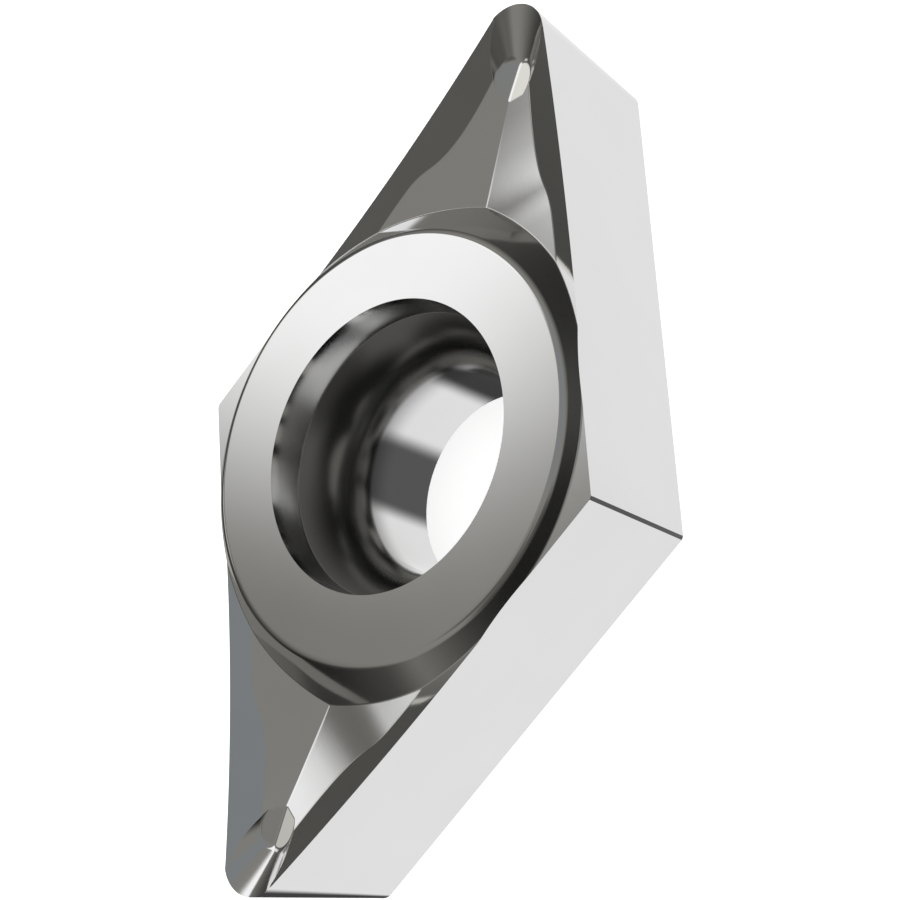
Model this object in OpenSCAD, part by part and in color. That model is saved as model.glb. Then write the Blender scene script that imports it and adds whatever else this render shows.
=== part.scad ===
// Rhombic carbide cutting insert with 55 degree points, 7 degree relief and a polished chip former.
// Units are millimetres. The origin is on the axis of the screw hole, in the flat bottom face.
// +Z points up through the hole, +Y runs along the long diagonal and +X along the short one.
// The chip former is ground by wide wheels, so each of its faces is a large cylinder, a flat or a cone.

/* [Body] */
// Diameter of the circle that touches the four cutting edges at the height of the points
inscribed_d = 9.525; // [9:0.025:10.2]
// Height of the two pointed corners above the bottom face
corner_height = 3.97; // [3.6:0.01:4.6]
// Angle of the pointed corners, in degrees
acute_angle = 55; // [52:1:58]
// Relief angle of the four flanks, in degrees
relief_angle = 7; // [5:0.5:8]
// Radius of the pointed corners at their top
nose_r = 0.8; // [0.6:0.05:1]
// Width of the narrow flat ground along each blunt corner
blunt_flat = 0.085; // [0.05:0.005:0.2]

/* [Boss] */
// Height of the round boss above the pointed corners
boss_rise = 0.03; // [0.01:0.01:0.15]
// Diameter at which the sloping wall of the boss would meet its flat top
boss_d = 9; // [8.7:0.02:9.1]
// Angle of the boss wall from the vertical, in degrees
boss_wall_angle = 45; // [40:1:50]
// Radius of the rounded rim between the flat top and the wall
boss_rim_r = 0.25; // [0.08:0.01:0.35]

/* [Screw hole] */
// Diameter of the bore for the clamping screw
bore_d = 4.4; // [4:0.05:4.8]
// Diameter of the mouth at the top of the boss
mouth_d = 6.14; // [5.9:0.02:6.4]
// Depth of the steep wall below the mouth
mouth_depth = 0.8; // [0.6:0.05:1]
// Angle of the steep wall from the vertical, in degrees
mouth_taper = 3.6; // [1:0.2:6]
// Height of the curved screw seat, from the bore up to the steep wall
seat_height = 1.42; // [1.2:0.02:1.6]

/* [Cutting edges] */
// Depth of the lowest point of each cutting edge below the pointed corners
edge_dip = 0.31; // [0.2:0.01:0.35]
// Place of that lowest point along the edge, as a share of the way from its middle to the point
edge_low_share = 0.222; // [0.15:0.001:0.35]
// Slope of the narrow face behind the cutting edge, in degrees
land_angle = 19.5; // [17:0.5:22]
// Depth of the level shelves at the blunt corners below the pointed corners
shelf_depth = 0.228; // [0.2:0.01:0.28]

/* [Chip former floor] */
// Slope of both floor faces across the cutting edge, in degrees
floor_angle = 9.4; // [8.5:0.1:10.5]
// Depth of the inner floor below the pointed corners, carried out to the line of the edge
root_depth = 0.404; // [0.37:0.001:0.43]
// Lowest place of the outer floor along the edge, as a share of the way to the point
floor_low_share = 0.577; // [0.53:0.001:0.62]
// Depth of the outer floor below the pointed corners there, carried out to the line of the edge
floor_depth = 0.369; // [0.34:0.001:0.4]
// Radius of the outer floor along the edge
floor_r = 19.3; // [15:0.1:24]

/* [Nose] */
// Slope of the cone behind the rounded point, on the centre line, in degrees
nose_slope = 22.6; // [20:0.5:25]
// Half angle of that cone, in degrees
nose_cone_half = 39.5; // [36:0.5:43]
// Distance from the tip back to the apex of the cone
nose_cone_reach = 1.96; // [1.8:0.02:2.1]
// Depth of the level groove between the two nose facets below the pointed corners
facet_depth = 0.452; // [0.44:0.001:0.48]
// Cross slope of the two nose facets, in degrees
facet_angle = 10.3; // [9:0.1:12]
// Radius in the bottom of that groove
groove_r = 0.3; // [0.1:0.05:0.5]

/* [Hidden] */
$fn = 96;
wheel_fn = 360;
eps = 0.01;
reach = 30;

half_acute = acute_angle / 2;
half_ic = inscribed_d / 2;
relief = tan(relief_angle);
top_z = corner_height + boss_rise;

// Nose cone of the flank: its centre on the long diagonal and the height of its apex
nose_y = (half_ic - nose_r) / sin(half_acute);
apex_z = corner_height - nose_r / relief;
tip_y = nose_y + nose_r;

// The nose cone is wider by this share, so that it crosses the flanks instead of only touching them
seam = 1.0005;

// Length along an edge from its middle to the start of the nose radius
edge_run = (half_ic - nose_r) / tan(half_acute);

// Radius of the wheel that leaves the dipped cutting edge, from its lowest place up to the point
edge_low = edge_low_share * edge_run;
edge_r = pow(edge_run - edge_low, 2) / (2 * edge_dip * cos(land_angle));
floor_low = floor_low_share * edge_run;

// The boss covers the cutting edges on both sides of their middle, where the end cuts stop
middle_y = half_ic * sin(half_acute);

// Screw seat: an arc tangent to the bore that ends at the foot of the steep wall
seat_top_z = top_z - mouth_depth;
seat_top_r = mouth_d / 2 - mouth_depth * tan(mouth_taper);
bore_r = bore_d / 2;
seat_low_z = seat_top_z - seat_height;
seat_step = seat_top_r - bore_r;
seat_r = (pow(seat_step, 2) + pow(seat_height, 2)) / (2 * seat_step);

// Places its child at one long side; local +X leaves the side and local +Y runs to the point
module at_side() {
    rotate([0, 0, half_acute])
        translate([half_ic, 0, 0])
            children();
}

// Keeps a child and adds its copy turned to the other end
module both_ends() {
    children();
    rotate([0, 0, 180]) children();
}

// Everything inside a flank plane through the origin
module inside_flank() {
    rotate([0, relief_angle, half_acute])
        translate([-reach, -reach, -reach])
            cube([reach, 2 * reach, 2 * reach]);
}

// Everything inside the two flanks and the rounded nose of one end; all these faces run through
// one point below the insert, the apex of the nose cone, so they meet in straight lines
module inside_end() {
    cone_h = top_z - apex_z + eps;
    translate([0, nose_y, apex_z])
        intersection() {
            inside_flank();
            mirror([1, 0, 0]) inside_flank();
            union() {
                cylinder(h = cone_h, r1 = 0, r2 = cone_h * relief * seam);
                rotate([-atan(relief * sin(half_acute) / seam), 0, 0])
                    translate([-reach, -reach, -reach])
                        cube([2 * reach, reach, 2 * reach]);
            }
        }
}

// Everything inside the narrow flat of one blunt corner
module inside_blunt_flat() {
    blunt_x = half_ic / cos(half_acute) - blunt_flat / 2 * tan(half_acute);
    translate([blunt_x, 0, corner_height])
        rotate([0, atan(relief / cos(half_acute)), 0])
            translate([-reach, -reach, -reach])
                cube([reach, 2 * reach, 2 * reach]);
}

// Blank with flanks, rounded points and flats at the blunt corners
module blank() {
    intersection() {
        translate([-reach / 2, -reach / 2, 0]) cube([reach, reach, top_z]);
        inside_end();
        rotate([0, 0, 180]) inside_end();
        inside_blunt_flat();
        rotate([0, 0, 180]) inside_blunt_flat();
    }
}

// Space swept by a wide wheel whose lowest line starts at the edge and falls towards the middle
module wheel(depth, place, fall, r) {
    at_side()
        translate([0, place, corner_height - depth])
            rotate([0, -fall, 0])
                translate([-reach / 2, 0, r])
                    rotate([0, 90, 0])
                        cylinder(h = reach, r = r, $fn = wheel_fn);
}

// Space above the land and the floor faces of one side; the first wheel leaves the land and the inner floor
module above_side() {
    intersection() {
        wheel(edge_dip, edge_low, land_angle, edge_r);
        union() {
            wheel(root_depth, edge_low, floor_angle, edge_r);
            wheel(floor_depth, floor_low, floor_angle, floor_r);
        }
    }
}

// Cone that hollows the face behind a rounded point
module nose_hollow() {
    axis_angle = nose_slope + nose_cone_half;
    cone_h = reach / 4;
    translate([0, tip_y - nose_cone_reach, corner_height - nose_cone_reach * tan(nose_slope)])
        rotate([axis_angle - 90, 0, 0])
            cylinder(h = cone_h, r1 = 0, r2 = cone_h * tan(nose_cone_half));
}

// Space above the two nose facets and the rounded groove between them
module above_facets() {
    side = reach / 4;
    arc_x = groove_r * sin(facet_angle);
    translate([0, tip_y, corner_height - facet_depth])
        rotate([90, 0, 0])
            linear_extrude(side) {
                polygon([
                    [arc_x, arc_x * tan(facet_angle)],
                    [side, side * tan(facet_angle)],
                    [side, side],
                    [-side, side],
                    [-side, side * tan(facet_angle)],
                    [-arc_x, arc_x * tan(facet_angle)]
                ]);
                translate([0, groove_r / cos(facet_angle)]) circle(groove_r);
            }
}

// All that is ground away at one end
module end_cut() {
    intersection() {
        above_side();
        mirror([1, 0, 0]) above_side();
        translate([-reach / 2, middle_y, 0]) cube([reach, reach, top_z + eps]);
    }
    intersection() {
        nose_hollow();
        above_facets();
    }
}

// Level shelves at the two blunt corners
module shelf_cut() {
    translate([-reach / 2, -middle_y, corner_height - shelf_depth])
        cube([reach, 2 * middle_y, shelf_depth + boss_rise + eps]);
}

// Round boss with a flat top, a rounded rim and a wall that flares down to the floor
module boss() {
    wall_drop = corner_height / 2;
    wall_run = wall_drop * tan(boss_wall_angle);
    rim_back = boss_rim_r * tan((90 - boss_wall_angle) / 2);
    rotate_extrude() {
        polygon([
            [0, top_z - wall_drop],
            [boss_d / 2 + wall_run, top_z - wall_drop],
            [boss_d / 2 + rim_back * sin(boss_wall_angle), top_z - rim_back * cos(boss_wall_angle)],
            [boss_d / 2 - rim_back, top_z],
            [0, top_z]
        ]);
        translate([boss_d / 2 - rim_back, top_z - boss_rim_r]) circle(boss_rim_r);
    }
}

// Screw hole: straight bore, curved seat for the screw head and a steep wall up to the mouth
module hole() {
    mouth_run = (mouth_depth + eps) * tan(mouth_taper);
    rotate_extrude()
        difference() {
            polygon([
                [0, -eps],
                [bore_r, -eps],
                [bore_r, seat_low_z],
                [seat_top_r, seat_low_z],
                [seat_top_r, seat_top_z],
                [seat_top_r + mouth_run, top_z + eps],
                [0, top_z + eps]
            ]);
            intersection() {
                translate([bore_r + seat_r, seat_low_z]) circle(seat_r);
                translate([bore_r, seat_low_z]) square([seat_r, seat_height]);
            }
        }
}

// The whole insert
module insert() {
    color([0.36, 0.36, 0.37])
        difference() {
            blank();
            difference() {
                union() {
                    both_ends() end_cut();
                    shelf_cut();
                }
                boss();
            }
            hole();
        }
}

insert();
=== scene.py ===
"""Carbide cutting insert: the finely finished surface of the CAD part, its studio and its camera.

Shape values are in millimetres, as in the CAD part. The mesh is made for the quarter of the insert
with positive x and y and mirrored twice. Its top is a height over the plan, in which the faces of
the chip former meet in narrow fillets.
"""

import math

import bpy
import numpy as np
from mathutils import Matrix, Vector
from mathutils.geometry import delaunay_2d_cdt


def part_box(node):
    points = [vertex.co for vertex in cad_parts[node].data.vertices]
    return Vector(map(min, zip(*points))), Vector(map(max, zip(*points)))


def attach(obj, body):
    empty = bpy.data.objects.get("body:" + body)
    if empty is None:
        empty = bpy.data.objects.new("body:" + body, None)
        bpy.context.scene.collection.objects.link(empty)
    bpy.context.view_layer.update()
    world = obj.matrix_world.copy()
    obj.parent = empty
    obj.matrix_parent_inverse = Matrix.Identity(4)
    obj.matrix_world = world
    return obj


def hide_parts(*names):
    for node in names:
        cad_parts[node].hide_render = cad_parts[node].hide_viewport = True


# ---------------------------------------------------------------- the frame

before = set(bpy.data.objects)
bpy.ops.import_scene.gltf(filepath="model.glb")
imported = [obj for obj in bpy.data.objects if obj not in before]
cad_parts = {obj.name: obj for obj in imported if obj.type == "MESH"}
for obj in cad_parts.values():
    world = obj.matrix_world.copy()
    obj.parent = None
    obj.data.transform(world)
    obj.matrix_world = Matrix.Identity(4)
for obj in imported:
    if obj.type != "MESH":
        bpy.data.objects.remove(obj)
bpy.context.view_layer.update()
MM = 0.001
TOP_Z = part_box("insert")[1].z / MM

# ---------------------------------------------------------------- shape values

# Outline: height of the pointed corners, inscribed circle, radius and half angle of the noses,
# relief, and the narrow flat along each blunt corner
BOSS_RISE = 0.03
CORNER_Z = TOP_Z - BOSS_RISE
INSCRIBED_D = 9.525
HALF_IC = INSCRIBED_D / 2
NOSE_R = 0.8
HALF_ACUTE = math.radians(27.5)
RELIEF = math.tan(math.radians(7))
BLUNT_FLAT = 0.085
BLUNT_HALF = BLUNT_FLAT / 2

# From these: direction of a long side, centre and tip of the nose, run of a side from its middle to
# the nose, and where that middle is
COS_A, SIN_A = math.cos(HALF_ACUTE), math.sin(HALF_ACUTE)
NOSE_Y = (HALF_IC - NOSE_R) / SIN_A
TIP_Y = NOSE_Y + NOSE_R
EDGE_RUN = (HALF_IC - NOSE_R) / math.tan(HALF_ACUTE)
MIDDLE_Y = HALF_IC * SIN_A

# Boss: radius where its top and its wall would meet, rounded rim, wall and fillet at the foot
BOSS_R = 4.5
RIM_R = 0.25
WALL_ANGLE = math.radians(45)
RIM_START = BOSS_R - RIM_R * math.tan(WALL_ANGLE / 2)
FOOT_FILLET = 0.02

# Screw hole: steep wall below the mouth, curved seat and bore
MOUTH_R = 3.07
MOUTH_DEPTH = 0.8
MOUTH_TAPER = math.radians(3.6)
SEAT_HEIGHT = 1.42
BORE_R = 2.2

# Cutting edge and land: dip of the edge, its lowest place, slope of the land and how fast it rises
# past the start of the nose
EDGE_DIP = 0.31
EDGE_LOW = 0.222 * EDGE_RUN
LAND_SLOPE = math.tan(math.radians(19.5))
LAND_LIFT = 2

# Shelf at a blunt corner and half the width of the step beside it
SHELF_Z = CORNER_Z - 0.228
SHELF_HALF = 0.1

# Slope of the chip former floor along the edge, at these distances from the middle of the edge,
# one place whose height is known, and its slope across the edge
FLOOR_U = np.array([-3.0, 1.69, 3.0, 3.8, 4.4, 5.0, 5.5, 6.3, 7.0, 9.5])
FLOOR_RISE = np.array([-0.079, 0.0, 0.030, 0.033, -0.019, 0.037, 0.068, 0.10, 0.115, 0.15])
KNOWN_U, KNOWN_D, KNOWN_Z = 3.8, 4.0, CORNER_Z - 0.4935
FLOOR_SLOPE = math.tan(math.radians(9.4))

# Nose: hollow cone with its slope, half angle and reach from the tip, and the two facets
CONE_SLOPE = math.radians(22.6)
CONE_HALF = math.radians(39.5)
CONE_REACH = 1.96
FACET_Z = CORNER_Z - 0.452
FACET_SLOPE = math.tan(math.radians(10.3))

# Half widths of the fillets in the chip former
VALLEY_HALF = 0.03
GROOVE_HALF = 0.05
LAND_BLEND = 0.0047
FACET_BLEND = 0.03
RIDGE_BLEND = 0.004

# Mesh: steps around a quarter circle, points along the cutting edge, around the nose and down the
# seat, and steps between the points of the top, of its lines and of the bottom
ARC_STEPS = 48
EDGE_POINTS, NOSE_POINTS, SEAT_POINTS = 150, 28, 15
FILL_STEP, LINE_STEP, BOTTOM_STEP = 0.11, 0.035, 0.8
FILL_FROM = (0.3, -2.3)

# Lines run on this far past the cutting edge, and plain points stay as far inside it and away from
# the centre lines; they stay a little farther from the mouth
BORDER = 0.04
MOUTH_BORDER = 0.06

# Contours start a little past the centre lines, so that none of them stops short
PAST_CENTRE = -0.03

# Extra rings on the boss, turns in degrees around its rim, and lines beside the long diagonal with
# their distance, start and end
TOP_RINGS = (MOUTH_R + BORDER, 3.4, 3.75, 4.1, RIM_START - 0.01)
RIM_TURNS = (0, 7.5, 15, 22.5, 30, 37.5, 45)
WALL_RINGS = (4.62, 4.68)
CENTRE_LINES = ((VALLEY_HALF, 5.2, 7.6), (GROOVE_HALF, 7.4, 8.4))
CENTRE_POINTS = 24

# Carbide: patterns a millimetre, their detail, how the grinding lines spread along each axis,
# height of the bumps in millimetres and shares of roughness
GRAIN_SCALE, LINE_SCALE, CLOUD_SCALE = 14, 3, 0.5
GRAIN_DETAIL, LINE_DETAIL, CLOUD_DETAIL = 3, 2, 2
LINE_SPREAD = (0.15, 0.15, 6)
BUMP_HEIGHT = 0.00008
BASE_ROUGH, CLOUD_ROUGH, GRAIN_ROUGH = 0.05, 0.03, 0.03
METAL_COLORS = (0.70, 0.70, 0.70, 1), (0.74, 0.74, 0.74, 1)

# Screw hole: colour of the shade painted on its seat, roughness that the hole adds, heights between
# which both fade out down the bore, half the soft border above the seat and the one inside the
# mouth
SEAT_SHADE_COLOR = (0.26, 0.26, 0.26, 1)
HOLE_ROUGH = 0.13
SEAT_FADE = (1.2, 2.2)
SEAT_BORDER = 0.01
MOUTH_FADE = 0.02

# Studio: light that the metal mirrors, as shares of white, and the tints of the room
WHITE = (1.0, 1.0, 1.0, 1.0)
ROOM_LIGHT, WALL_LIGHT = 0.269, 0.4
ROOM_TINT, COOL_TINT = (1, 0.982, 0.911, 1), (0.93, 1, 1.035, 1)

# Areas of the studio around the insert: angle from straight up, azimuth, and radii at which each
# area starts to fade and ends, all in degrees; the last number is the share of light that it takes
# away, or adds if below zero
AREAS_ABOVE = ((119.5, -18.3, 70.0, 99.0, 0.94), (17.2, -128.8, 0.1, 16.8, 0.57),
               (127.7, -162.8, 41.3, 91.7, 0.81), (85.0, -122.3, 14.7, 32.6, 0.65),
               (120.1, 62.0, 44.8, 95.7, 0.95), (28.9, -42.1, 13.9, 27.1, 0.64),
               (65.0, 167.6, 3, 7, -5), (64.3, -174.6, 2, 6, -4.2),
               (103, 178, 1, 3.5, -5))
AREAS_BELOW = ((137, 22, 20, 34, 0.88), (128, -147, 24, 42, 0.94))

# The ground below, the cooler part of the room, and pale walls near the horizon, which the sides of
# the insert away from the camera mirror
GROUND = (176, -50, 46, 52)
COOL_AREA = (20, 115, 8, 20)
WALLS = ((90, 22, 24, 34), (98, -28, 22, 30), (98, 55, 20, 28), (80, 38, 10, 20),
         (114, 180, 10, 18), (118, -140, 10, 20), (110, -75, 20, 34), (118, 100, 10, 18))

# Soft panel: light, direction in degrees, distance in metres, and its corners as shares of that
PANEL_LIGHT = 1.236
PANEL_TOWARD = (46.2, 162.3)
PANEL_AWAY = 0.2271
PANEL_CORNERS = ((-0.36, -0.32, 0), (0.4, -0.32, 0), (0.4, 0.24, 0), (-0.36, 0.24, 0))

# Borders of the soft panel, as shares of its distance: direction across the border, and where along
# that direction the light starts and is full
PANEL_SIDES = (((1, 0.182, 0), -0.284, -0.2175), ((0.089, 1, 0), -0.2583, -0.0991),
               ((1, -0.564, 0), 0.2403, 0.0502), ((0, 1, 0), 0.2224, 0.1624))

# Floor: side in metres, colour and its own light for the camera
FLOOR_SIZE = 2
FLOOR_COLOR = (0.9, 0.9, 0.9, 1)
FLOOR_LIFT = 0.65

# Camera: side, focal length and optical centre of the picture in pixels, sensor in millimetres,
# nearest distance in metres, place in millimetres and axes
PICTURE_SIDE = 900
FOCAL_PIXELS = 2562.9
CENTRE_PIXEL = (411.04, 495.66)
SENSOR_WIDTH = 36
CLIP_START = 0.001
EYE_PLACE = (35.7646, -3.3610, 40.6143)
EYE_RIGHT = (0.70356, 0.29959, -0.64440)
EYE_UP = (-0.18517, 0.95275, 0.24077)


# ---------------------------------------------------------------- height of the top

def smooth_max(a, b, k):
    """The larger of two heights, rounded where they differ by less than k."""
    lap = np.maximum(k - np.abs(a - b), 0) / k
    return np.maximum(a, b) + lap * lap * k / 4


def smooth_min(a, b, k):
    """The smaller of two heights, rounded in the same way."""
    return -smooth_max(-a, -b, k)


def smooth_abs(x, half):
    """The size of x, rounded within half of zero."""
    size = np.abs(x)
    return np.where(size < half, x * x / (2 * half) + half / 2, size)


def side_coords(x, y):
    """Distance from the axis square to the long side, and place along that side."""
    return COS_A * x + SIN_A * y, COS_A * y - SIN_A * x


def side_point(d, u):
    """Plan point at a distance from the axis and a place along the long side."""
    return COS_A * d - SIN_A * u, SIN_A * d + COS_A * u


def floor_rise(u):
    """Height gained along the floor from its first listed place to u."""
    gains = (FLOOR_RISE[1:] + FLOOR_RISE[:-1]) / 2 * np.diff(FLOOR_U)
    gained = np.concatenate([[0], np.cumsum(gains)])
    i = np.clip(np.searchsorted(FLOOR_U, u) - 1, 0, len(FLOOR_U) - 2)
    run = u - FLOOR_U[i]
    bend = (FLOOR_RISE[i + 1] - FLOOR_RISE[i]) / (FLOOR_U[i + 1] - FLOOR_U[i])
    return gained[i] + FLOOR_RISE[i] * run + bend * run * run / 2


def edge_height(u):
    """Height of the cutting edge. Past the start of the nose it rises away, so the cone is left."""
    dip = EDGE_DIP * (1 - ((u - EDGE_LOW) / (EDGE_RUN - EDGE_LOW)) ** 2)
    return CORNER_Z - dip + LAND_LIFT * np.maximum(u - EDGE_RUN, 0) ** 2


def land_height(d, u):
    return edge_height(u) + LAND_SLOPE * (d - HALF_IC)


def floor_height(d, u):
    rise = floor_rise(u) - floor_rise(np.float64(KNOWN_U))
    return KNOWN_Z + rise + FLOOR_SLOPE * (d - KNOWN_D)


def boss_height(r):
    inner = r - RIM_START
    rim = TOP_Z - RIM_R + np.sqrt(np.maximum(RIM_R ** 2 - np.clip(inner, 0, RIM_R) ** 2, 0))
    wall = BOSS_R + TOP_Z - r
    return np.where(inner <= 0, TOP_Z, np.where(inner < RIM_R * math.sin(WALL_ANGLE), rim, wall))


def trough_height(x, y):
    """Lower side of the cone that hollows the face behind the nose."""
    tilt = CONE_SLOPE + CONE_HALF
    c, s, k = math.cos(tilt), math.sin(tilt), math.cos(CONE_HALF) ** 2
    q = y - (TIP_Y - CONE_REACH)
    a = s * s - k
    b = 2 * q * c * s
    g = q * q * (c * c - k) - k * x * x
    root = np.sqrt(np.maximum(b * b - 4 * a * g, 0))
    return CORNER_Z - CONE_REACH * math.tan(CONE_SLOPE) + (root - b) / (2 * a)


def facet_height(x):
    """Nose facets with the rounded groove between them."""
    return FACET_Z + FACET_SLOPE * smooth_abs(x, GROOVE_HALF)


def nose_height(x, y):
    return smooth_max(trough_height(x, y), facet_height(x), FACET_BLEND)


def side_height(x, y):
    """Land and floor of one side, with the fillet of the valley on the centre line."""
    d, u = side_coords(smooth_abs(x, VALLEY_HALF), y)
    return smooth_max(land_height(d, u), floor_height(d, u), LAND_BLEND)


def ground_height(x, y):
    """Chip former and shelf without the boss."""
    x, y = np.abs(x), np.abs(y)
    ends = smooth_min(side_height(x, y), nose_height(x, y), RIDGE_BLEND)
    share = np.clip((MIDDLE_Y + SHELF_HALF - y) / (2 * SHELF_HALF), 0, 1)
    return ends + (SHELF_Z - ends) * share * share * (3 - 2 * share)


def top_height(x, y):
    return smooth_max(boss_height(np.hypot(x, y)), ground_height(x, y), FOOT_FILLET)


def top_normal(x, y, step=2e-4):
    gx = (top_height(x + step, y) - top_height(x - step, y)) / (2 * step)
    gy = (top_height(x, y + step) - top_height(x, y - step)) / (2 * step)
    n = np.stack([-gx, -gy, np.ones_like(gx)], axis=-1)
    return n / np.linalg.norm(n, axis=-1, keepdims=True)


# ---------------------------------------------------------------- lines in the plan

def settle(place, tries=12):
    """Plan point whose place depends on its own height, found by repeated tries."""
    x, y = place(CORNER_Z)
    for _ in range(tries):
        x, y = place(top_height(x, y))
    return x, y


def outline():
    """Cutting edge of the quarter, from the blunt corner to the tip of the nose."""
    blunt_x = HALF_IC / COS_A - BLUNT_HALF * math.tan(HALF_ACUTE)
    corner_x = blunt_x - (CORNER_Z - SHELF_Z) * RELIEF / COS_A
    points = [(corner_x, 0.0), (corner_x, BLUNT_HALF)]
    first_u = side_coords(corner_x, BLUNT_HALF)[1]
    for u in np.linspace(first_u, EDGE_RUN, EDGE_POINTS)[1:]:
        points.append(settle(lambda z: side_point(HALF_IC - (CORNER_Z - z) * RELIEF, u)))
    for angle in np.linspace(HALF_ACUTE, math.pi / 2, NOSE_POINTS)[1:]:
        def on_nose(z):
            r = NOSE_R - (CORNER_Z - z) * RELIEF
            return r * math.cos(angle), NOSE_Y + r * math.sin(angle)
        points.append(settle(on_nose))
    points[-1] = (0.0, points[-1][1])
    return [(float(x), float(y)) for x, y in points]


def arc(r, steps=ARC_STEPS):
    """Points of a quarter circle about the axis, with its ends exactly on the centre lines."""
    angle = np.linspace(0, math.pi / 2, steps + 1)
    x, y = r * np.cos(angle), r * np.sin(angle)
    x[-1], y[0] = 0, 0
    return list(zip(x, y))


def cut_links(above):
    """Which cut grid edges follow each other, where the sign changes on a grid of triangles."""
    links = {}
    corners = above[:-1, :-1] + 0 + above[1:, :-1] + above[:-1, 1:] + above[1:, 1:]
    for i, j in zip(*np.nonzero((corners > 0) & (corners < 4))):
        a, b, c, d = (i, j), (i + 1, j), (i + 1, j + 1), (i, j + 1)
        for triangle in ((a, b, c), (a, c, d)):
            sides = zip(triangle, triangle[1:] + triangle[:1])
            cuts = [tuple(sorted(s)) for s in sides if above[s[0]] != above[s[1]]]
            if cuts:
                links.setdefault(cuts[0], []).append(cuts[1])
                links.setdefault(cuts[1], []).append(cuts[0])
    return links


def chains(links):
    """Cut grid edges in order, one list for each line."""
    lines, left = [], dict(links)
    for start in sorted(links, key=lambda cut: len(links[cut])):
        if start not in left:
            continue
        line, at = [], start
        while at is not None:
            line.append(at)
            left.pop(at)
            at = next((n for n in links[at] if n in left), None)
        lines.append(line)
    return lines


def contour(f, low, high, step=LINE_STEP, halvings=30, closest=0.6):
    """Lines in the plan, between the corners low and high, on which f is zero.

    Points nearer to the one before than the closest share of a step are left out.
    """
    x = np.arange(low[0], high[0] + step, step)
    y = np.arange(low[1], high[1] + step, step)
    grid = np.stack(np.meshgrid(x, y, indexing="ij"), axis=-1)
    above = f(grid[..., 0], grid[..., 1]) > 0
    lines = []
    for chain in chains(cut_links(above)):
        a = np.array([grid[cut[0]] for cut in chain])
        b = np.array([grid[cut[1]] for cut in chain])
        start_above = np.array([above[cut[0]] for cut in chain])
        for _ in range(halvings):
            middle = (a + b) / 2
            same = ((f(middle[:, 0], middle[:, 1]) > 0) == start_above)[:, None]
            a, b = np.where(same, middle, a), np.where(same, b, middle)
        kept = [a[0]]
        for p in a[1:]:
            if np.hypot(*(p - kept[-1])) > closest * step:
                kept.append(p)
        lines.append(np.array(kept))
    return lines


def kept_parts(line, keeps):
    """The stretches of a line on which keeps is true."""
    parts, part = [], []
    for p, good in zip(line, keeps(line[:, 0], line[:, 1])):
        if good:
            part.append(tuple(p))
        elif part:
            parts.append(part)
            part = []
    return [p for p in parts + [part] if len(p) > 1]


def room(x, y):
    """Distance inside the cutting edge, at the height of the top there."""
    z = top_height(x, y)
    back = (CORNER_Z - z) * RELIEF
    side = HALF_IC - back - side_coords(np.abs(x), y)[0]
    nose = NOSE_R - back - np.hypot(x, y - NOSE_Y)
    beyond = side_coords(np.abs(x), y)[1] > EDGE_RUN
    return np.where(beyond, nose, side)


def crease_lines():
    """Lines where faces of the top meet, with both sides of the fillet between them."""
    def foot(x, y):
        return boss_height(np.hypot(x, y)) - ground_height(x, y)

    def land(x, y):
        d, u = side_coords(x, y)
        return land_height(d, u) - floor_height(d, u)

    def step(x, y):
        return side_height(x, y) - nose_height(x, y)

    def facet(x, y):
        return trough_height(x, y) - facet_height(x)

    # How far one face is above the other, half the fillet, lines across it as shares of that half,
    # two corners of a window around the crease, and the part of the window where the crease is
    creases = (
        (foot, FOOT_FILLET, (-1, 0, 1), (PAST_CENTRE, PAST_CENTRE), (5.4, 5.7),
         lambda x, y: np.hypot(x, y) > BOSS_R),
        (land, LAND_BLEND, (-1, 0, 1), (0.02, 3.5), (3.6, 9.4),
         lambda x, y: (step(x, y) < 0.02) & (foot(x, y) < 0.04)),
        (step, RIDGE_BLEND, (-1, 0, 1), (PAST_CENTRE, 7), (1.2, 9.4),
         lambda x, y: y > 7),
        (facet, FACET_BLEND, (-1, -0.5, 0, 0.5, 1), (PAST_CENTRE, 7.43), (0.9, 9.3),
         lambda x, y: step(x, y) > -0.01),
    )
    for above, half, shares, low, high, found in creases:
        for share in shares:
            for line in contour(lambda x, y: above(x, y) - share * half, low, high):
                yield from kept_parts(line, lambda x, y: found(x, y) & (room(x, y) > -BORDER))


def fill_points():
    """Plain points between the lines, on rows that follow the long side."""
    first_d, first_u = FILL_FROM
    d, u = np.meshgrid(np.arange(first_d, HALF_IC, FILL_STEP), np.arange(first_u, TIP_Y, FILL_STEP))
    x, y = side_point(d.ravel(), u.ravel())
    inside = (x > BORDER) & (y > BORDER) & (room(x, y) > BORDER)
    keep = inside & (np.hypot(x, y) > MOUTH_R + MOUTH_BORDER)
    return np.stack([x[keep], y[keep]], axis=1)


# ---------------------------------------------------------------- mesh of the quarter

class Plan:
    """Points and fixed edges of a plan inside a ring, made into triangles."""

    def __init__(self, ring):
        self.points, self.edges = [], []
        self.loose(ring)
        self.ring = list(range(len(ring)))

    def loose(self, points):
        self.points += [Vector((float(x), float(y))) for x, y in points]

    def line(self, points):
        first = len(self.points)
        self.loose(points)
        self.edges += [(i, i + 1) for i in range(first, len(self.points) - 1)]

    def triangles(self, same=1e-6):
        """Points and triangles inside the ring, where points nearer than same are joined."""
        points, _, faces, _, _, inside = delaunay_2d_cdt(
            self.points, self.edges, [self.ring], 0, same)
        points = np.array([(p.x, p.y) for p in points])
        faces = np.array([f for f, ring in zip(faces, inside) if ring])
        a, b, c = points[faces[:, 0]], points[faces[:, 1]], points[faces[:, 2]]
        ab, ac = b - a, c - a
        upside_down = ab[:, 0] * ac[:, 1] - ac[:, 0] * ab[:, 1] < 0
        faces[upside_down] = faces[upside_down][:, ::-1]
        return points, faces


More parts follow.
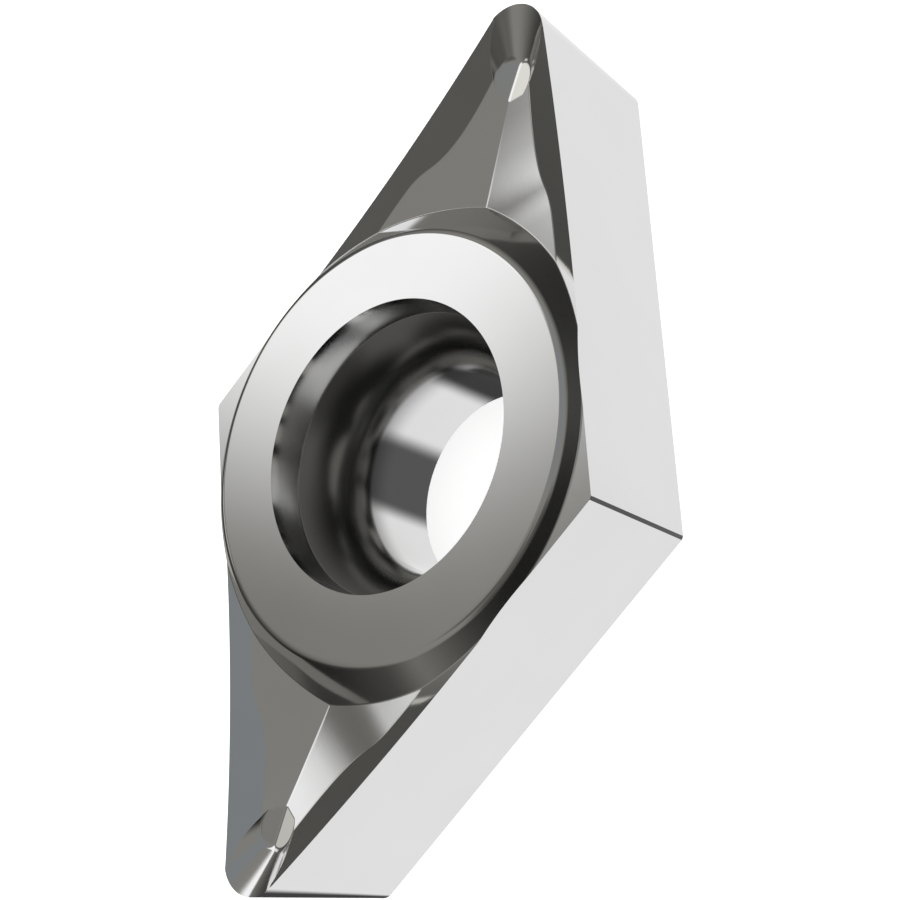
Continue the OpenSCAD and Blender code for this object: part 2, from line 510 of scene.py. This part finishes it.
def top_plan():
    """Points and triangles of the top, from the mouth of the hole out to the cutting edge."""
    plan = Plan(outline() + arc(MOUTH_R)[::-1])
    for r in TOP_RINGS:
        plan.line(arc(r))
    rim_rings = [RIM_START + RIM_R * math.sin(math.radians(turn)) for turn in RIM_TURNS]
    for r in (*rim_rings, *WALL_RINGS):
        plan.line(arc(r, 2 * ARC_STEPS))
    for line in crease_lines():
        plan.line(line)
    for x, start, end in CENTRE_LINES:
        plan.line([(x, y) for y in np.linspace(start, end, CENTRE_POINTS)])
    plan.loose(fill_points())
    return plan.triangles()


def cutting_edge(points, faces, near=1e-6):
    """Numbers of the plan points on the cutting edge, from the blunt corner to the nose."""
    sides = {(a, b) for f in faces.tolist() for a, b in zip(f, f[1:] + f[:1])}
    after = dict(s for s in sides if s[::-1] not in sides)
    at = max((i for i in after if abs(points[i, 1]) < near), key=lambda i: points[i, 0])
    chain = [at]
    while abs(points[at, 0]) > near:
        at = after[at]
        chain.append(at)
    return chain


class Faces:
    """Faces with a normal for each of their corners, in millimetres."""

    def __init__(self):
        self.points, self.faces, self.normals = [], [], []

    def add(self, corners, normals):
        first = len(self.points)
        self.points += [tuple(p) for p in corners]
        self.faces.append(list(range(first, first + len(corners))))
        self.normals += [tuple(n) for n in normals]


def flank_foot(p, is_nose, is_flat, first_u):
    """Lower end of the flank below one point of the cutting edge, and the normal there."""
    x, y, z = p
    if is_nose:
        r = NOSE_R - (CORNER_Z - z) * RELIEF
        out = np.array([x, y - NOSE_Y]) / r
        low = np.array([0, NOSE_Y]) + out * (NOSE_R - CORNER_Z * RELIEF)
        return (*low, 0.0), (out[0], out[1], -RELIEF)
    if is_flat:
        return (x - z * RELIEF / COS_A, y, 0.0), (1.0, 0.0, -RELIEF / COS_A)
    u = side_coords(x, y)[1]
    low_first = first_u + SHELF_Z * RELIEF * math.tan(HALF_ACUTE)
    low_u = low_first + (u - first_u) * (EDGE_RUN - low_first) / (EDGE_RUN - first_u)
    return (*side_point(HALF_IC - CORNER_Z * RELIEF, low_u), 0.0), (COS_A, SIN_A, -RELIEF)


def unit(n):
    return np.array(n) / np.linalg.norm(n)


def add_top(body, points, faces):
    """Adds the top and gives back its cutting edge with heights."""
    z = top_height(points[:, 0], points[:, 1])
    normals = top_normal(points[:, 0], points[:, 1])
    solid = np.column_stack([points, z])
    for f in faces:
        body.add(solid[f], normals[f])
    return solid[cutting_edge(points, faces)]


def add_flanks(body, chain):
    """Adds the flanks below the cutting edge and gives back their feet."""
    first_u = side_coords(chain[1][0], BLUNT_HALF)[1]
    feet = []
    for p, q in zip(chain[:-1], chain[1:]):
        middle_u = side_coords((p[0] + q[0]) / 2, (p[1] + q[1]) / 2)[1]
        nose = middle_u > EDGE_RUN
        flat = (p[1] + q[1]) / 2 < BLUNT_HALF
        (a, na), (b, nb) = (flank_foot(v, nose, flat, first_u) for v in (p, q))
        body.add([a, b, q, p], [unit(na), unit(nb), unit(nb), unit(na)])
        feet.append(a)
    feet.append(b)
    return feet


def hole_profile():
    """Radius, height and normal at both ends of each band of the screw hole, from the top down."""
    seat_top_z = TOP_Z - MOUTH_DEPTH
    seat_top_r = MOUTH_R - MOUTH_DEPTH * math.tan(MOUTH_TAPER)
    seat_low_z = seat_top_z - SEAT_HEIGHT
    step = seat_top_r - BORE_R
    seat_r = (step ** 2 + SEAT_HEIGHT ** 2) / (2 * step)
    sweep = math.asin(SEAT_HEIGHT / seat_r)
    steep = (-math.cos(MOUTH_TAPER), math.sin(MOUTH_TAPER))
    bands = [((MOUTH_R, TOP_Z, steep), (seat_top_r, seat_top_z, steep))]
    ring = []
    for angle in np.linspace(sweep, 0, SEAT_POINTS):
        c, s = math.cos(angle), math.sin(angle)
        ring.append((BORE_R + seat_r - seat_r * c, seat_low_z + seat_r * s, (-c, s)))
    bands += list(zip(ring[:-1], ring[1:]))
    bands.append((ring[-1], (BORE_R, 0.0, (-1.0, 0.0))))
    return bands


def turned(flat, spoke):
    """Point or normal of the profile, turned about the axis to a spoke."""
    return flat[0] * spoke[0], flat[0] * spoke[1], flat[1]


def add_hole(body):
    """Adds the screw hole, turned about the axis from its profile."""
    spokes = arc(1)
    for (r0, z0, n0), (r1, z1, n1) in hole_profile():
        for a, b in zip(spokes[:-1], spokes[1:]):
            corners = ((r0, z0), a), ((r0, z0), b), ((r1, z1), b), ((r1, z1), a)
            normals = (n0, a), (n0, b), (n1, b), (n1, a)
            body.add([turned(*c) for c in corners], [turned(*n) for n in normals])


def add_bottom(body, feet, from_bore=0.3, from_side=0.9):
    """Adds the flat bottom, with plain points that stay away from the bore and the flanks."""
    plan = Plan([(x, y) for x, y, _ in feet] + arc(BORE_R)[::-1])
    for y in np.arange(BOTTOM_STEP / 2, TIP_Y, BOTTOM_STEP):
        plan.loose([(x, y) for x in np.arange(BOTTOM_STEP / 2, HALF_IC, BOTTOM_STEP)
                    if math.hypot(x, y) > BORE_R + from_bore
                    and side_coords(x, y)[0] < HALF_IC - from_side])
    points, faces = plan.triangles()
    solid = np.column_stack([points, np.zeros(len(points))])
    for f in faces:
        body.add(solid[f[::-1]], [(0, 0, -1)] * 3)


def quarter():
    """All faces of the insert with positive x and y."""
    body = Faces()
    edge = add_top(body, *top_plan())
    feet = add_flanks(body, edge)
    add_hole(body)
    add_bottom(body, feet)
    return body


def mirrored(body):
    """Points, faces and corner normals of the whole insert from its quarter.

    The points of a plan come back in single precision, so all points take it and meet exactly.
    """
    points = np.array(body.points, dtype=np.float32).astype(float)
    normals = np.array(body.normals)
    all_points, all_normals, faces = [], [], []
    for sx, sy in ((1, 1), (-1, 1), (-1, -1), (1, -1)):
        flip = np.array([sx, sy, 1.0])
        reversed_once = sx * sy < 0
        offset = len(points) * len(all_points)
        all_points.append(points * flip)
        block = normals * flip
        for f in body.faces:
            order = f[::-1] if reversed_once else f
            faces.append([i + offset for i in order])
            all_normals += [block[i] for i in order]
    return np.concatenate(all_points), faces, np.array(all_normals)


def build_mesh(name, digits=5):
    """Mesh of the insert in metres, with points joined where they agree to so many digits."""
    points, faces, normals = mirrored(quarter())
    key = np.round(points, digits) + 0.0
    _, keep, joined = np.unique(key, axis=0, return_index=True, return_inverse=True)
    joined = joined.reshape(-1)
    mesh = bpy.data.meshes.new(name)
    kept_faces, kept_normals, at = [], [], 0
    for f in faces:
        corners = [int(joined[i]) for i in f]
        if len(set(corners)) == len(corners):
            kept_faces.append(corners)
            kept_normals += [tuple(n) for n in normals[at:at + len(f)]]
        at += len(f)
    mesh.from_pydata([tuple(p * MM) for p in points[keep]], [], kept_faces)
    mesh.shade_smooth()
    mesh.normals_split_custom_set(kept_normals)
    return mesh


# ---------------------------------------------------------------- shader nodes

def math_node(tree, operation, *values):
    """Result of a math node whose values are numbers or outputs of other nodes."""
    node = tree.nodes.new("ShaderNodeMath")
    node.operation = operation
    for socket, value in zip(node.inputs, values):
        if isinstance(value, (int, float)):
            socket.default_value = value
        else:
            tree.links.new(value, socket)
    return node.outputs[0]


def smooth_step(tree, value, start, end):
    """Zero where the value is at its start and one where it is at its end, smooth between them."""
    node = tree.nodes.new("ShaderNodeMapRange")
    node.interpolation_type = "SMOOTHSTEP"
    tree.links.new(value, node.inputs[0])
    for socket, number in zip(node.inputs[1:5], (start, end, 0.0, 1.0)):
        socket.default_value = number
    return node.outputs[0]


def mixed_color(tree, factor, first, second):
    """The first colour where the factor is zero and the second where it is one."""
    node = tree.nodes.new("ShaderNodeMix")
    node.data_type = "RGBA"
    # The mix node keeps its colours in these sockets, after those for numbers and vectors
    sockets = node.inputs[0], node.inputs[6], node.inputs[7]
    for socket, value in zip(sockets, (factor, first, second)):
        if isinstance(value, tuple):
            socket.default_value = value
        else:
            tree.links.new(value, socket)
    return node.outputs[2]


def along(tree, place, toward):
    """How far a place or a ray reaches in a direction."""
    node = tree.nodes.new("ShaderNodeVectorMath")
    node.operation = "DOT_PRODUCT"
    node.inputs[1].default_value = toward
    tree.links.new(place, node.inputs[0])
    return node.outputs["Value"]


# ---------------------------------------------------------------- carbide

def noise(tree, place, scale, detail, spread=(1, 1, 1)):
    """Noise of so many patterns a millimetre, finer or coarser along each axis by its spread."""
    stretch = tree.nodes.new("ShaderNodeVectorMath")
    stretch.operation = "MULTIPLY"
    stretch.inputs[1].default_value = [share / MM for share in spread]
    tree.links.new(place, stretch.inputs[0])
    node = tree.nodes.new("ShaderNodeTexNoise")
    node.inputs["Scale"].default_value = scale
    node.inputs["Detail"].default_value = detail
    tree.links.new(stretch.outputs[0], node.inputs["Vector"])
    return node.outputs["Fac"]


def hole_and_seat_shade_covers(tree, place):
    """One in the screw hole, falling to zero down its bore, and one on its curved seat alone, where
    shade is painted.
    """
    split = tree.nodes.new("ShaderNodeSeparateXYZ")
    tree.links.new(place, split.inputs[0])
    x, y, z = split.outputs
    squares = [math_node(tree, "MULTIPLY", side, side) for side in (x, y)]
    r = math_node(tree, "SQRT", math_node(tree, "ADD", *squares))
    inside = smooth_step(tree, r, MOUTH_R * MM, (MOUTH_R - MOUTH_FADE) * MM)
    above = smooth_step(tree, z, SEAT_FADE[0] * MM, SEAT_FADE[1] * MM)
    seat_top_z = TOP_Z - MOUTH_DEPTH
    below = smooth_step(tree, z, (seat_top_z + SEAT_BORDER) * MM, (seat_top_z - SEAT_BORDER) * MM)
    hole = math_node(tree, "MULTIPLY", inside, above)
    return hole, math_node(tree, "MULTIPLY", hole, below)


def carbide():
    """Polished carbide with a fine grain, faint lines around the flanks and a cloudy sheen.

    The seat of the screw hole is rougher, and shade is painted on it as a darker colour.
    """
    material = bpy.data.materials.new("ground_carbide")
    material.use_nodes = True
    tree = material.node_tree
    shader = tree.nodes["Principled BSDF"]
    shader.inputs["Metallic"].default_value = 1
    place = tree.nodes.new("ShaderNodeTexCoord").outputs["Object"]
    grain = noise(tree, place, GRAIN_SCALE, GRAIN_DETAIL)
    lines = noise(tree, place, LINE_SCALE, LINE_DETAIL, LINE_SPREAD)
    cloud = noise(tree, place, CLOUD_SCALE, CLOUD_DETAIL)
    hole, seat = hole_and_seat_shade_covers(tree, place)
    ground = mixed_color(tree, cloud, *METAL_COLORS)
    # Painted shade: the curved seat of the screw hole takes a darker base colour, standing in for
    # the shade in the hollow
    tree.links.new(mixed_color(tree, seat, ground, SEAT_SHADE_COLOR), shader.inputs["Base Color"])
    rough = math_node(tree, "MULTIPLY_ADD", cloud, CLOUD_ROUGH, BASE_ROUGH)
    rough = math_node(tree, "MULTIPLY_ADD", grain, GRAIN_ROUGH, rough)
    rough = math_node(tree, "MULTIPLY_ADD", hole, HOLE_ROUGH, rough)
    tree.links.new(rough, shader.inputs["Roughness"])
    bump = tree.nodes.new("ShaderNodeBump")
    bump.inputs["Distance"].default_value = BUMP_HEIGHT * MM
    tree.links.new(math_node(tree, "ADD", grain, lines), bump.inputs["Height"])
    tree.links.new(bump.outputs[0], shader.inputs["Normal"])
    return material


# ---------------------------------------------------------------- studio and camera

def direction(polar, azimuth):
    """Unit vector at an angle from straight up and an angle around it, both in degrees."""
    polar, azimuth = math.radians(polar), math.radians(azimuth)
    flat = math.sin(polar)
    return Vector((flat * math.cos(azimuth), flat * math.sin(azimuth), math.cos(polar)))


def area_cover(tree, ray, polar, azimuth, start, end):
    """One inside an area of the studio and zero outside it."""
    reach = along(tree, ray, direction(polar, azimuth))
    return smooth_step(tree, reach, math.cos(math.radians(end)), math.cos(math.radians(start)))


def mirrored_light(tree, ray, base, areas):
    """Light of one half of the studio, changed in each of its areas."""
    light = base
    for *area, share in areas:
        cover = area_cover(tree, ray, *area)
        kept = math_node(tree, "MULTIPLY_ADD", cover, -share, 1.0)
        light = math_node(tree, "MULTIPLY", light, kept)
    return light


def studio_light():
    """Even white light, in which metal sees a dim room above a pale ground with dark areas."""
    world = bpy.data.worlds.new("studio_light")
    bpy.context.scene.world = world
    world.use_nodes = True
    tree = world.node_tree
    back = tree.nodes["Background"]
    ray = tree.nodes.new("ShaderNodeTexCoord").outputs["Generated"]
    below = area_cover(tree, ray, *GROUND)
    above = math_node(tree, "SUBTRACT", 1.0, below)
    ground = math_node(tree, "MULTIPLY", below, mirrored_light(tree, ray, 1.0, AREAS_BELOW))
    room = math_node(tree, "MULTIPLY", above, mirrored_light(tree, ray, ROOM_LIGHT, AREAS_ABOVE))
    seen = math_node(tree, "ADD", ground, room)
    for wall in WALLS:
        lit = math_node(tree, "MULTIPLY", area_cover(tree, ray, *wall), WALL_LIGHT)
        seen = math_node(tree, "MAXIMUM", seen, lit)
    glossy = tree.nodes.new("ShaderNodeLightPath").outputs["Is Glossy Ray"]
    strength = math_node(tree, "MULTIPLY_ADD", glossy, math_node(tree, "SUBTRACT", seen, 1.0), 1.0)
    tree.links.new(strength, back.inputs["Strength"])
    tint = mixed_color(tree, area_cover(tree, ray, *COOL_AREA), ROOM_TINT, COOL_TINT)
    tinted = math_node(tree, "MULTIPLY", glossy, above)
    tree.links.new(mixed_color(tree, tinted, WHITE, tint), back.inputs["Color"])


def soft_panel():
    """Lamp with soft borders that the flat faces mirror."""
    toward = direction(*PANEL_TOWARD)
    across = Vector((0, 1, 0)).cross(toward).normalized()
    turn = Matrix((across, toward.cross(across), toward)).transposed().to_4x4()
    mesh = bpy.data.meshes.new("soft_panel")
    mesh.from_pydata(PANEL_CORNERS, [], [(0, 1, 2, 3)])
    panel = bpy.data.objects.new("soft_panel", mesh)
    moved = Matrix.Translation(toward * PANEL_AWAY)
    panel.matrix_world = moved @ turn @ Matrix.Scale(PANEL_AWAY, 4)
    panel.visible_camera = False
    bpy.context.scene.collection.objects.link(panel)

    material = bpy.data.materials.new("soft_panel")
    material.use_nodes = True
    tree = material.node_tree
    tree.nodes.clear()
    place = tree.nodes.new("ShaderNodeTexCoord").outputs["Object"]
    cover = 1.0
    for inward, start, full in PANEL_SIDES:
        lit = smooth_step(tree, along(tree, place, inward), start, full)
        cover = math_node(tree, "MULTIPLY", cover, lit)
    glow = tree.nodes.new("ShaderNodeEmission")
    glow.inputs["Strength"].default_value = PANEL_LIGHT
    mix = tree.nodes.new("ShaderNodeMixShader")
    tree.links.new(cover, mix.inputs[0])
    tree.links.new(tree.nodes.new("ShaderNodeBsdfTransparent").outputs[0], mix.inputs[1])
    tree.links.new(glow.outputs[0], mix.inputs[2])
    tree.links.new(mix.outputs[0], tree.nodes.new("ShaderNodeOutputMaterial").inputs["Surface"])
    mesh.materials.append(material)


def floor():
    """White floor that keeps a faint shadow; metal sees the ground of the studio instead."""
    bpy.ops.mesh.primitive_plane_add(size=FLOOR_SIZE)
    plane = bpy.context.object
    plane.name = "studio_floor"
    plane.visible_glossy = False
    material = bpy.data.materials.new("studio_floor")
    material.use_nodes = True
    tree = material.node_tree
    shader = tree.nodes["Principled BSDF"]
    shader.inputs["Base Color"].default_value = FLOOR_COLOR
    shader.inputs["Roughness"].default_value = 1
    shader.inputs["Specular IOR Level"].default_value = 0
    shader.inputs["Emission Color"].default_value = WHITE
    path = tree.nodes.new("ShaderNodeLightPath").outputs
    seen = math_node(tree, "MAXIMUM", path["Is Camera Ray"], path["Is Transmission Ray"])
    lift = math_node(tree, "MULTIPLY", seen, FLOOR_LIFT)
    tree.links.new(lift, shader.inputs["Emission Strength"])
    plane.data.materials.append(material)


def camera():
    """Camera of the photograph, solved from the outline of the insert."""
    data = bpy.data.cameras.new("camera")
    data.sensor_width = SENSOR_WIDTH
    data.lens = FOCAL_PIXELS / PICTURE_SIDE * SENSOR_WIDTH
    data.shift_x = (PICTURE_SIDE / 2 - CENTRE_PIXEL[0]) / PICTURE_SIDE
    data.shift_y = (CENTRE_PIXEL[1] - PICTURE_SIDE / 2) / PICTURE_SIDE
    data.clip_start = CLIP_START
    eye = bpy.data.objects.new("camera", data)
    right, up = Vector(EYE_RIGHT), Vector(EYE_UP)
    back = right.cross(up)
    turn = Matrix((right, up, back)).transposed().to_4x4()
    eye.matrix_world = Matrix.Translation(Vector(EYE_PLACE) * MM) @ turn
    bpy.context.scene.collection.objects.link(eye)
    bpy.context.scene.camera = eye


# ---------------------------------------------------------------- put together

insert = bpy.data.objects.new("ground_insert", build_mesh("ground_insert"))
bpy.context.scene.collection.objects.link(insert)
insert.data.materials.append(carbide())
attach(insert, "root")
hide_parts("insert")

floor()
soft_panel()
studio_light()
camera()
bpy.context.scene.view_settings.view_transform = "Standard"

bpy.context.view_layer.update()
